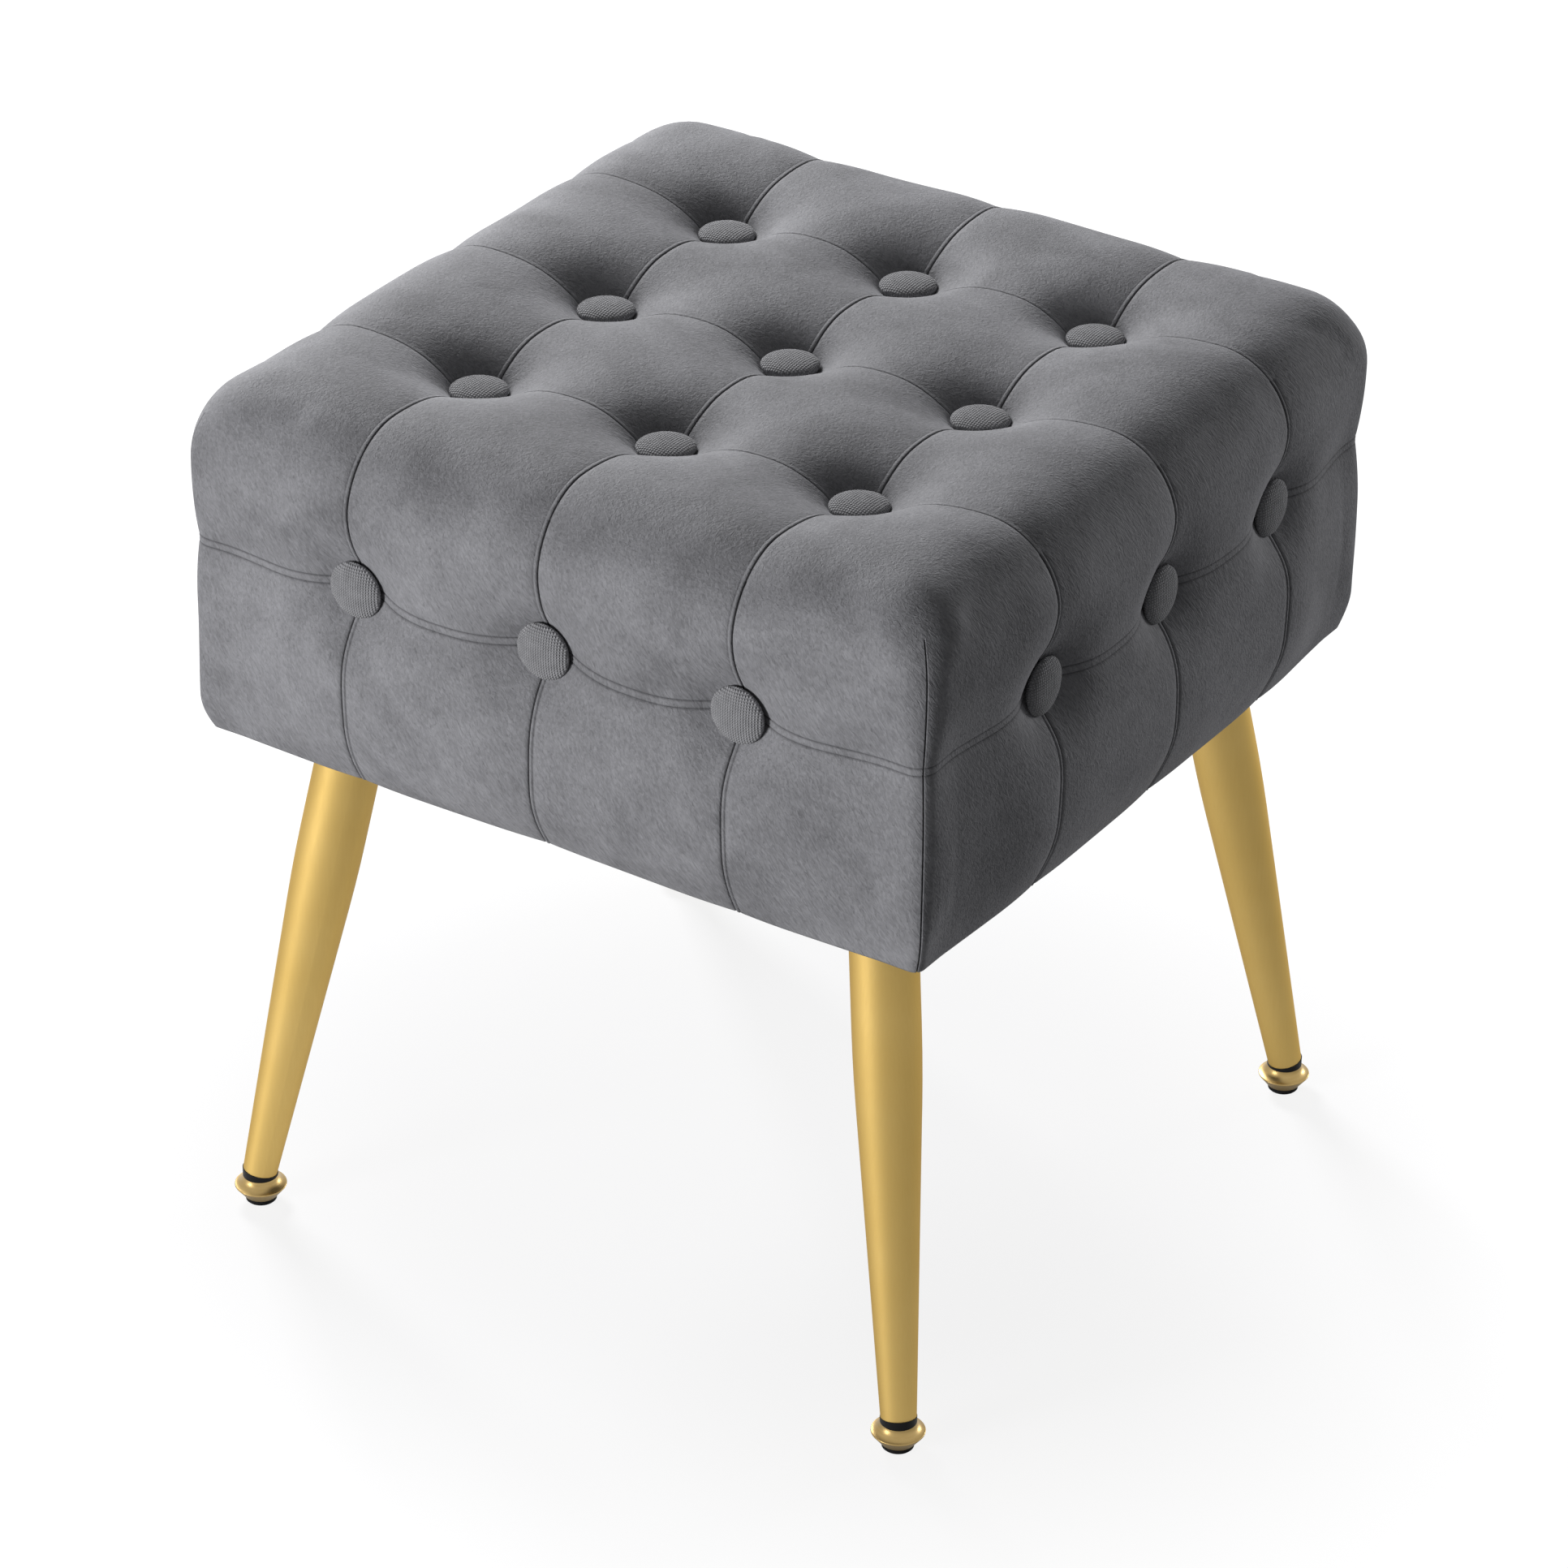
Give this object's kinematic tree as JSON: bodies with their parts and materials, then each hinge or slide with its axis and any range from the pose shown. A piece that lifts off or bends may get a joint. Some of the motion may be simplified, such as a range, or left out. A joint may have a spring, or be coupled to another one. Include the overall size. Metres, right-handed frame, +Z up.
{
  "type": "tufted footstool",
  "caption": "Square button-tufted velvet footstool on splayed tapered metal legs with screw-adjusted levelling feet.",
  "frame": {"origin": "on the floor, under the middle of the seat", "axes": "+Z up, +X to the stool's right, +Y to its back; the stool is the same from all four sides"},
  "size_m": [0.425, 0.425, 0.4482],
  "materials": {
    "velvet": "matte",
    "button_velvet": "matte",
    "dust_cloth": "matte",
    "foam": "matte",
    "twine": "matte",
    "softwood": "matte",
    "plywood": "matte",
    "zinc_steel": "satin",
    "satin_brass": "satin",
    "polished_brass": "gloss",
    "black_plastic": "satin",
    "black_rubber": "matte"
  },
  "bodies": {
    "root": {"tufted_cover": "velvet", "dust_cover": "dust_cloth", "top_foam_pad": "foam", "front_foam": "foam", "front_rail": "softwood", "front_buttons": "button_velvet", "back_foam": "foam", "back_rail": "softwood", "back_buttons": "button_velvet", "left_foam": "foam", "left_rail": "softwood", "left_buttons": "button_velvet", "right_foam": "foam", "right_rail": "softwood", "right_buttons": "button_velvet", "top_buttons": "button_velvet", "deck_board": "plywood", "base_board": "plywood", "frame_screws": "zinc_steel", "deck_screws": "zinc_steel", "base_screws": "zinc_steel", "leg_screws": "zinc_steel", "top_twines": "twine", "top_washers": "zinc_steel", "side_twines": "twine", "side_washers": "zinc_steel", "corner_block_front_left": "softwood", "leg_plate_front_left": "zinc_steel", "leg_front_left": "satin_brass", "foot_plug_front_left": "black_plastic", "corner_block_front_right": "softwood", "leg_plate_front_right": "zinc_steel", "leg_front_right": "satin_brass", "foot_plug_front_right": "black_plastic", "corner_block_back_left": "softwood", "leg_plate_back_left": "zinc_steel", "leg_back_left": "satin_brass", "foot_plug_back_left": "black_plastic", "corner_block_back_right": "softwood", "leg_plate_back_right": "zinc_steel", "leg_back_right": "satin_brass", "foot_plug_back_right": "black_plastic"},
    "stud_front_left": {"foot_stud_front_left": "zinc_steel"},
    "foot_front_left": {"foot_flange_front_left": "polished_brass", "foot_pad_front_left": "black_rubber"},
    "stud_front_right": {"foot_stud_front_right": "zinc_steel"},
    "foot_front_right": {"foot_flange_front_right": "polished_brass", "foot_pad_front_right": "black_rubber"},
    "stud_back_left": {"foot_stud_back_left": "zinc_steel"},
    "foot_back_left": {"foot_flange_back_left": "polished_brass", "foot_pad_back_left": "black_rubber"},
    "stud_back_right": {"foot_stud_back_right": "zinc_steel"},
    "foot_back_right": {"foot_flange_back_right": "polished_brass", "foot_pad_back_right": "black_rubber"}
  },
  "joints": [
    {"name": "foot_travel_front_left", "type": "slide", "parent": "root", "child": "stud_front_left", "axis": [0, 0, -1], "range_m": [0, 0.008]},
    {"name": "foot_turn_front_left", "type": "hinge", "parent": "stud_front_left", "child": "foot_front_left", "pos_m": [-0.1845, -0.1845, 0], "axis": [0, 0, -1], "range_deg": [0, 2880]},
    {"name": "foot_travel_front_right", "type": "slide", "parent": "root", "child": "stud_front_right", "axis": [0, 0, -1], "range_m": [0, 0.008]},
    {"name": "foot_turn_front_right", "type": "hinge", "parent": "stud_front_right", "child": "foot_front_right", "pos_m": [0.1845, -0.1845, 0], "axis": [0, 0, -1], "range_deg": [0, 2880]},
    {"name": "foot_travel_back_left", "type": "slide", "parent": "root", "child": "stud_back_left", "axis": [0, 0, -1], "range_m": [0, 0.008]},
    {"name": "foot_turn_back_left", "type": "hinge", "parent": "stud_back_left", "child": "foot_back_left", "pos_m": [-0.1845, 0.1845, 0], "axis": [0, 0, -1], "range_deg": [0, 2880]},
    {"name": "foot_travel_back_right", "type": "slide", "parent": "root", "child": "stud_back_right", "axis": [0, 0, -1], "range_m": [0, 0.008]},
    {"name": "foot_turn_back_right", "type": "hinge", "parent": "stud_back_right", "child": "foot_back_right", "pos_m": [0.1845, 0.1845, 0], "axis": [0, 0, -1], "range_deg": [0, 2880]}
  ],
  "couplings": [
    {"joint": "foot_travel_front_left", "follows": "foot_turn_front_left", "m_per_rad": 0.00015915},
    {"joint": "foot_travel_front_right", "follows": "foot_turn_front_right", "m_per_rad": 0.00015915},
    {"joint": "foot_travel_back_left", "follows": "foot_turn_back_left", "m_per_rad": 0.00015915},
    {"joint": "foot_travel_back_right", "follows": "foot_turn_back_right", "m_per_rad": 0.00015915}
  ]
}
